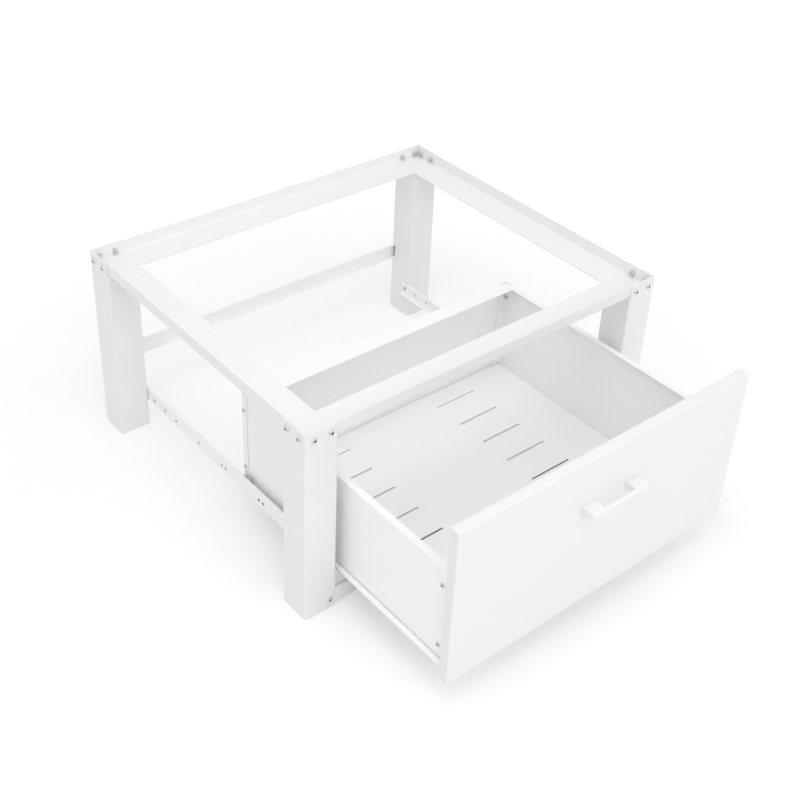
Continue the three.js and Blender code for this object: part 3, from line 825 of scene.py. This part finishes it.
def fastenerShank(made, asked, below):
    overlap = made.math("MULTIPLY", asked["Head Height"], fastenerShape["overlap"])
    length = made.math("ADD", below, overlap)
    shank = made.node("GeometryNodeMeshCylinder", {
        "Vertices": fastenerShape["shankSides"], "Radius": asked["Shank Radius"],
        "Depth": length}).outputs["Mesh"]
    lift = made.math("SUBTRACT", overlap, made.math("MULTIPLY", length, 0.5))
    return made.moved(shank, shift=made.vector(z=lift))


def fastenerNut(made, asked, xyz, below):
    # six-sided, and drawn in at both ends
    height = asked["Nut Height"]
    corner = made.math("DIVIDE", asked["Nut Across"], 2 * math.cos(math.pi / 6))
    hexagon = made.node("GeometryNodeMeshCylinder", {
        "Vertices": 6, "Side Segments": fastenerShape["nutBands"], "Radius": corner,
        "Depth": height}).outputs["Mesh"]
    atEnd = made.math("GREATER_THAN", made.math("ABSOLUTE", xyz[2]),
                      made.math("MULTIPLY", height, fastenerShape["nutEnds"]))
    kept = made.math("SUBTRACT", 1.0, made.math("MULTIPLY", atEnd, fastenerShape["nutDrawIn"]))
    nut = made.node("GeometryNodeSetPosition", {
        "Geometry": hexagon,
        "Position": made.vector(made.math("MULTIPLY", xyz[0], kept),
                                made.math("MULTIPLY", xyz[1], kept), xyz[2]),
    }).outputs[0]
    middle = made.math("ADD", asked["Nut Inset"], made.math("MULTIPLY", height, 0.5))
    return made.moved(nut, shift=made.vector(z=made.math("SUBTRACT", middle, below)))


def setOnPoints(made, asked, fastener):
    # each point carries the way its head faces; the cross is turned at random
    outward = made.node("GeometryNodeInputNamedAttribute", {"Name": "outward"},
                        data_type="FLOAT_VECTOR").outputs[0]
    aimed = made.node("FunctionNodeAlignRotationToVector", {"Vector": outward},
                      axis="Z").outputs[0]
    # sockets 3 and 1: the greatest number, and the number drawn
    chance = made.node("FunctionNodeRandomValue", {
        "Seed": asked["Turn Seed"], 3: quarterTurn}, data_type="FLOAT").outputs[1]
    spin = made.node("FunctionNodeAxisAngleToRotation", {
        "Axis": (0.0, 0.0, 1.0), "Angle": chance}).outputs[0]
    turned = made.node("FunctionNodeRotateRotation", {
        "Rotation": aimed, "Rotate By": spin}, rotation_space="LOCAL").outputs[0]
    placed = made.node("GeometryNodeInstanceOnPoints", {
        "Points": asked["Points"], "Instance": fastener, "Rotation": turned}).outputs[0]
    real = made.node("GeometryNodeRealizeInstances", {"Geometry": placed}).outputs[0]
    return made.node("GeometryNodeSetMaterial", {
        "Geometry": real, "Material": asked["Finish"]}).outputs[0]


def fastenerTree():
    tree = bpy.data.node_groups.new("crossHeadFastener", "GeometryNodeTree")
    face = tree.interface
    face.new_socket("Points", in_out="INPUT", socket_type="NodeSocketGeometry")
    for name in frameBolt:
        kind = "NodeSocketInt" if name == "Turn Seed" else "NodeSocketFloat"
        face.new_socket(name, in_out="INPUT", socket_type=kind)
    face.new_socket("Finish", in_out="INPUT", socket_type="NodeSocketMaterial")
    face.new_socket("Fasteners", in_out="OUTPUT", socket_type="NodeSocketGeometry")
    made = TreeWriter(tree)
    asked = made.node("NodeGroupInput").outputs
    place = made.node("GeometryNodeInputPosition").outputs[0]
    xyz = made.node("ShaderNodeSeparateXYZ", {0: place}).outputs

    cut = made.node("GeometryNodeMeshBoolean", {
        "Mesh 1": fastenerHead(made, asked, xyz), "Mesh 2": crossCutter(made, asked),
    }, operation="DIFFERENCE", solver="EXACT").outputs["Mesh"]
    below = made.math("SUBTRACT", asked["Length"], asked["Head Height"])
    plain = made.joined(cut, fastenerShank(made, asked, below))
    withNut = made.joined(plain, fastenerNut(made, asked, xyz, below))
    hasNut = made.node("FunctionNodeCompare", {"A": asked["Nut Height"], "B": tiny},
                       data_type="FLOAT", operation="GREATER_THAN").outputs[0]
    chosen = made.node("GeometryNodeSwitch", {
        "Switch": hasNut, "False": plain, "True": withNut}, input_type="GEOMETRY").outputs[0]
    headDown = made.vector(z=made.math("MULTIPLY", asked["Head Height"], -1.0))
    fastener = made.moved(chosen, shift=headDown)
    made.node("NodeGroupOutput", {0: setOnPoints(made, asked, fastener)})
    return tree


def headPoint(node, outward):
    # the middle of the box face that the head shows outwards
    low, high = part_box(node)
    middle, half = (low + high) / 2, (high - low) / 2
    return middle + Vector(o * h for o, h in zip(outward, half))


def addFasteners(name, tree, sizes, places):
    # places: (node, the way its head faces)
    mesh = bpy.data.meshes.new(name)
    mesh.from_pydata([headPoint(node, outward) for node, outward in places], [], [])
    facing = mesh.attributes.new("outward", "FLOAT_VECTOR", "POINT")
    for datum, (node, outward) in zip(facing.data, places):
        datum.vector = outward
    piece = bpy.data.objects.new(name, mesh)
    scene.collection.objects.link(piece)
    modifier = piece.modifiers.new("fasteners", "NODES")
    modifier.node_group = tree
    values = {**sizes, "Finish": finishes["zinc_steel"]}
    for item in tree.interface.items_tree:
        if item.in_out == "INPUT" and item.name in values:
            modifier[item.identifier] = values[item.name]
    bakeModifiers(piece)
    shade(piece, smooth=True)
    piece.data.set_sharp_from_angle(angle=fastenerShape["smoothAngle"])
    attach(piece, bodyOfNode[places[0][0]])
    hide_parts(*[node for node, outward in places])
    print(name, len(places), "set,", len(piece.data.polygons), "faces")


def outwardFrom(node):
    # heads on the drawer's outer faces
    low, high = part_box(node)
    return (1.0 if (low + high).x > 0 else -1.0, 0.0, 0.0)


def inwardFrom(node):
    # heads inside the fixed runners
    x, y, z = outwardFrom(node)
    return (-x, y, z)


def rearwardFrom(node):
    # heads behind the drawer's front
    return (0.0, 1.0, 0.0)


def boltFacing(node):
    # the heads are on the legs' outer faces, the end bolts look forwards or backwards
    low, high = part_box(node)
    middle = (low + high) / 2
    if "_side_" in node:
        return (math.copysign(1.0, middle.x), 0.0, 0.0)
    return (0.0, math.copysign(1.0, middle.y - middleOfLegs.y), 0.0)


fastenerFamilies = {
    "frameBolts": {"sizes": frameBolt, "words": "bolt", "facing": boltFacing},
    "runnerScrews": {"sizes": sheetScrew, "words": "runner_screw", "facing": inwardFrom},
    "boxScrews": {"sizes": boxScrew, "words": "box_screw", "facing": outwardFrom},
    "handleScrews": {"sizes": handleScrew, "words": "handle_screw", "facing": rearwardFrom},
}
tree = fastenerTree()
for name, family in fastenerFamilies.items():
    places = [(node, family["facing"](node)) for node in sorted(nodes) if family["words"] in node]
    addFasteners(name, tree, family["sizes"], places)


# the CAD nodes that stay, and those that are hidden, get the same finishes
for node, piece in nodes.items():
    for socket in range(len(piece.data.materials)):
        piece.data.materials[socket] = finishOf(node)
